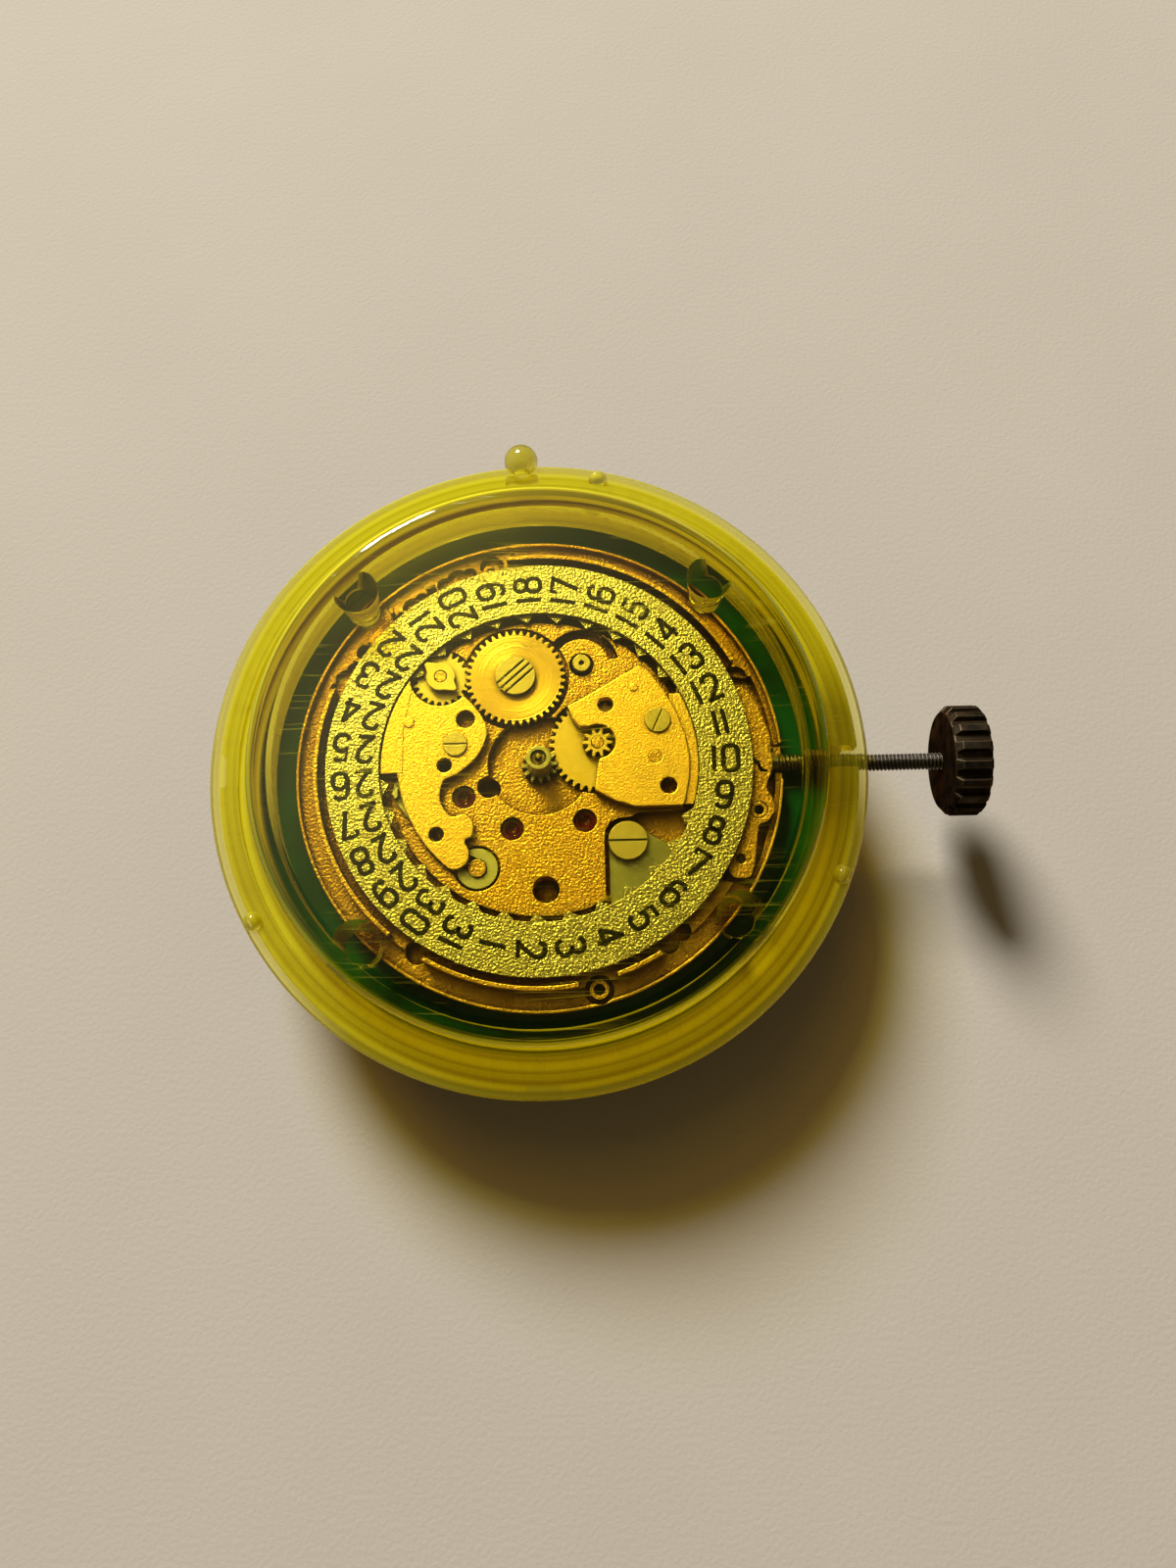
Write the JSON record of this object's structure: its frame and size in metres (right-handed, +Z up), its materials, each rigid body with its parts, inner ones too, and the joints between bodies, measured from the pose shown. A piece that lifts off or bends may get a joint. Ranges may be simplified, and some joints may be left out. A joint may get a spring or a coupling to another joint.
{
  "type": "watch movement",
  "caption": "Watch movement with gilt plates, toothed date ring, gear trains, stem and ribbed crown, held by a green ring inside a clear yellow round capsule with a lid.",
  "frame": {"origin": "centre of the capsule's underside", "axes": "+Z up through the lid on the movement's dial side, +X along the winding stem towards the crown"},
  "size_m": [0.0403, 0.0354, 0.0098],
  "materials": {
    "clear_base": "clear yellow, polished with fine scratches",
    "clear_lid": "clear yellow, polished with fine scratches",
    "tray_green": "moulded, satin",
    "plate_gilt": "gold-plated, fine grained",
    "bridge_gilt": "gold-plated, bright",
    "ring_silver": "silvered and brushed round",
    "wheel_gilt": "gold-plated, circular grain",
    "wheel_brass": "polished brass",
    "train_brass": "polished brass",
    "spring_steel": "fine ground",
    "screw_steel": "polished",
    "lever_steel": "grained",
    "pinion_steel": "hardened, polished",
    "stem_steel": "threaded, dark",
    "crown_dark": "dark bronze coat worn at the edges",
    "ruby": "polished ruby",
    "magnet": "ground",
    "core_metal": "annealed, matt",
    "copper": "lacquered copper wire",
    "board_green": "lacquered board with gilt tracks",
    "resin_black": "cast resin",
    "can_nickel": "nickel plated",
    "trimmer_cream": "ceramic",
    "cell_steel": "nickel plated",
    "cup_black": "moulded",
    "clamp_spring": "spring sheet"
  },
  "bodies": {
    "capsule": {"capsule_base": "clear_base", "holder_tray": "tray_green"},
    "lid": {"capsule_lid": "clear_lid"},
    "movement": {"main_plate": "plate_gilt", "minute_bridge": "bridge_gilt", "jumper_plate": "bridge_gilt", "date_jumper": "spring_steel", "jumper_spring": "spring_steel", "drive_wheel_screw": "screw_steel", "corrector_post": "screw_steel", "corrector_screw": "screw_steel", "bridge_screws": "screw_steel", "dial_jewels": "ruby", "setting_jumper": "bridge_gilt", "yoke": "lever_steel", "train_bridge": "bridge_gilt", "stator": "core_metal", "coil_core": "core_metal", "coil_winding": "copper", "circuit_board": "board_green", "ic_block": "resin_black", "crystal_can": "can_nickel", "trimmer": "trimmer_cream", "battery_cell": "cell_steel", "battery_cup": "cup_black", "battery_clamp": "clamp_spring", "back_screws": "screw_steel", "back_jewels": "ruby"},
    "date_ring": {"date_ring": "ring_silver"},
    "drive_wheel": {"date_drive_wheel": "wheel_gilt"},
    "finger_wheel": {"date_finger_wheel": "wheel_brass"},
    "minute_wheel": {"minute_wheel": "wheel_brass"},
    "cannon": {"cannon_pinion": "pinion_steel"},
    "setting_wheel": {"setting_wheel": "pinion_steel"},
    "centre_wheel": {"centre_wheel": "train_brass"},
    "third_wheel": {"third_wheel": "train_brass"},
    "seconds_wheel": {"seconds_wheel": "train_brass"},
    "step_wheel": {"step_wheel": "train_brass"},
    "rotor": {"rotor": "magnet"},
    "clutch": {"clutch_wheel": "pinion_steel"},
    "stem": {"winding_stem": "stem_steel", "crown": "crown_dark"},
    "setting_lever": {"setting_lever": "lever_steel"},
    "corrector_lever": {"corrector_lever": "lever_steel"}
  },
  "joints": [
    {"name": "movement_lift", "type": "slide", "parent": "capsule", "child": "movement", "axis": [0, 0, 1], "range_m": [0, 0.012]},
    {"name": "lid_lift", "type": "slide", "parent": "movement", "child": "lid", "axis": [0, 0, 1], "range_m": [0, 0.012]},
    {"name": "date_ring_turn", "type": "hinge", "parent": "movement", "child": "date_ring", "pos_m": [0, 0, 0.0068], "axis": [0, 0, 1], "continuous": true},
    {"name": "drive_wheel_turn", "type": "hinge", "parent": "movement", "child": "drive_wheel", "pos_m": [-0.0012, 0.00481, 0.0065], "axis": [0, 0, 1], "continuous": true},
    {"name": "finger_wheel_turn", "type": "hinge", "parent": "movement", "child": "finger_wheel", "pos_m": [-0.00516, 0.00486, 0.0065], "axis": [0, 0, 1], "continuous": true},
    {"name": "minute_wheel_turn", "type": "hinge", "parent": "movement", "child": "minute_wheel", "pos_m": [0.00307, 0.00105, 0.0062], "axis": [0, 0, 1], "continuous": true},
    {"name": "cannon_turn", "type": "hinge", "parent": "movement", "child": "cannon", "pos_m": [0, 0, 0.0065], "axis": [0, 0, 1], "continuous": true},
    {"name": "setting_wheel_turn", "type": "hinge", "parent": "movement", "child": "setting_wheel", "pos_m": [0.00605, 0.00015, 0.006], "axis": [0, 0, 1], "continuous": true},
    {"name": "centre_wheel_turn", "type": "hinge", "parent": "movement", "child": "centre_wheel", "pos_m": [0, 0, 0.0043], "axis": [0, 0, 1], "continuous": true},
    {"name": "third_wheel_turn", "type": "hinge", "parent": "movement", "child": "third_wheel", "pos_m": [0.00153, 0.00265, 0.0038], "axis": [0, 0, 1], "continuous": true},
    {"name": "seconds_wheel_turn", "type": "hinge", "parent": "movement", "child": "seconds_wheel", "pos_m": [0, 0, 0.0034], "axis": [0, 0, 1], "continuous": true},
    {"name": "step_wheel_turn", "type": "hinge", "parent": "movement", "child": "step_wheel", "pos_m": [0.00226, -0.00082, 0.003], "axis": [0, 0, 1], "continuous": true},
    {"name": "rotor_turn", "type": "hinge", "parent": "movement", "child": "rotor", "pos_m": [0.00474, -0.00126, 0.0035], "axis": [0, 0, 1], "continuous": true},
    {"name": "crown_turn", "type": "hinge", "parent": "movement", "child": "clutch", "pos_m": [0.008, 0, 0.0057], "axis": [1, 0, 0], "continuous": true},
    {"name": "stem_pull", "type": "slide", "parent": "clutch", "child": "stem", "axis": [1, 0, 0], "range_m": [0, 0.0006]},
    {"name": "setting_lever_swing", "type": "hinge", "parent": "movement", "child": "setting_lever", "pos_m": [0.0099, 0.0022, 0.00625], "axis": [0, 0, 1], "range_deg": [0, 15.9]},
    {"name": "corrector_swing", "type": "hinge", "parent": "movement", "child": "corrector_lever", "pos_m": [0.00451, -0.00414, 0.0061], "axis": [0, 0, 1], "range_deg": [0, 5]}
  ],
  "couplings": [
    {"joint": "finger_wheel_turn", "follows": "drive_wheel_turn", "ratio": -1.7826},
    {"joint": "cannon_turn", "follows": "minute_wheel_turn", "ratio": -3},
    {"joint": "setting_wheel_turn", "follows": "minute_wheel_turn", "ratio": -3.6},
    {"joint": "third_wheel_turn", "follows": "seconds_wheel_turn", "ratio": -0.13333},
    {"joint": "centre_wheel_turn", "follows": "seconds_wheel_turn", "ratio": 0.016667},
    {"joint": "step_wheel_turn", "follows": "seconds_wheel_turn", "ratio": -5},
    {"joint": "rotor_turn", "follows": "seconds_wheel_turn", "ratio": 30},
    {"joint": "setting_lever_swing", "follows": "stem_pull", "rad_per_m": 460.38}
  ]
}
